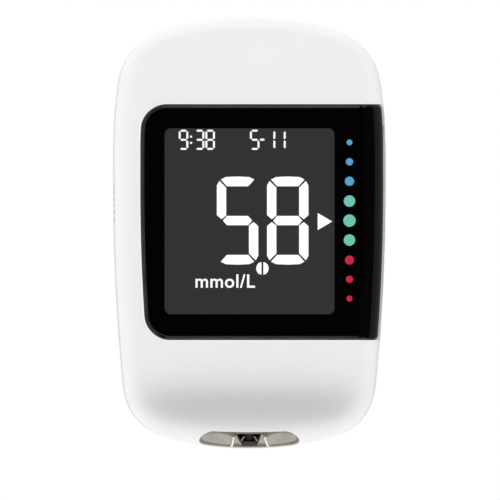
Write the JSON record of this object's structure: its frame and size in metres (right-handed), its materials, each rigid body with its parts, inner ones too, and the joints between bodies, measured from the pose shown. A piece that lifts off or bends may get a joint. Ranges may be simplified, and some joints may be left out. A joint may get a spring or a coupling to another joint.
{
  "type": "blood glucose meter",
  "caption": "Hand-held blood glucose meter: white two-shell case, black wrap-round display lens, side buttons, strip port in a sloping nose, strip ejector, coin cells behind a rear door.",
  "frame": {"origin": "on the surface that the back rests on, under the middle of the case", "axes": "+Z out of the display, +Y towards the top end, +X towards the side with the buttons"},
  "size_m": [0.049, 0.077, 0.0153],
  "materials": {
    "shell_front": "fine moulded satin, white",
    "shell_rear": "fine moulded satin, white",
    "door": "fine moulded satin, white",
    "lens": "polished, smoked black",
    "black_print": "printed film",
    "range_print": "translucent prints in blue, green and red",
    "adhesive": "foam tape",
    "display_glass": "dark negative display",
    "light_guide": "clear moulded",
    "led": "phosphor",
    "frame_white": "moulded",
    "zebra": "layered rubber",
    "board": "green solder resist",
    "screw": "zinc plated",
    "chip": "moulded epoxy",
    "can": "tinned shield",
    "chip_part": "fired",
    "socket": "tin plated",
    "tongue": "moulded",
    "bezel": "warm grey metallic lacquer",
    "connector": "moulded",
    "contact": "gold plated",
    "ejector": "fine moulded satin, pale grey",
    "spring": "drawn wire",
    "button": "satin black",
    "plunger": "moulded",
    "switch": "stamped cover",
    "cell": "nickel plated"
  },
  "bodies": {
    "case": {"front_shell": "shell_front", "rear_shell": "shell_rear", "display_lens": "lens", "lens_mask": "black_print", "range_marks": "range_print", "lens_adhesive": "adhesive", "lcd_cell": "display_glass", "light_guide": "light_guide", "backlight_leds": "led", "lcd_frame": "frame_white", "zebra_strip": "zebra", "pcb": "board", "pcb_screws": "screw", "microcontroller": "chip", "radio_module": "can", "crystal": "can", "chip_parts": "chip_part", "usb_socket": "socket", "usb_tongue": "tongue", "port_bezel": "bezel", "strip_connector": "connector", "strip_contacts": "contact", "ejector_spring": "spring", "side_switches": "switch", "coin_cell_left": "cell", "coin_cell_right": "cell", "negative_contacts": "contact", "positive_contacts": "contact"},
    "forward_button": {"button_forward": "button", "switch_plunger_forward": "plunger"},
    "back_button": {"button_back": "button", "switch_plunger_back": "plunger"},
    "ejector": {"strip_ejector": "ejector"},
    "door": {"battery_door": "door"}
  },
  "joints": [
    {"name": "forward_press", "type": "slide", "parent": "case", "child": "forward_button", "axis": [-1, 0, 0], "range_m": [0, 0.00035], "stiffness_N_per_m": 600},
    {"name": "back_press", "type": "slide", "parent": "case", "child": "back_button", "axis": [-1, 0, 0], "range_m": [0, 0.00035], "stiffness_N_per_m": 600},
    {"name": "strip_eject", "type": "slide", "parent": "case", "child": "ejector", "axis": [0, -1, 0], "range_m": [0, 0.0035], "stiffness_N_per_m": 100, "springref_m": -0.001, "deforming": ["ejector_spring"]},
    {"name": "door_hinge", "type": "hinge", "parent": "case", "child": "door", "pos_m": [0, 0.0047, 0.0008], "axis": [-1, 0, 0], "range_deg": [0, 95]}
  ]
}
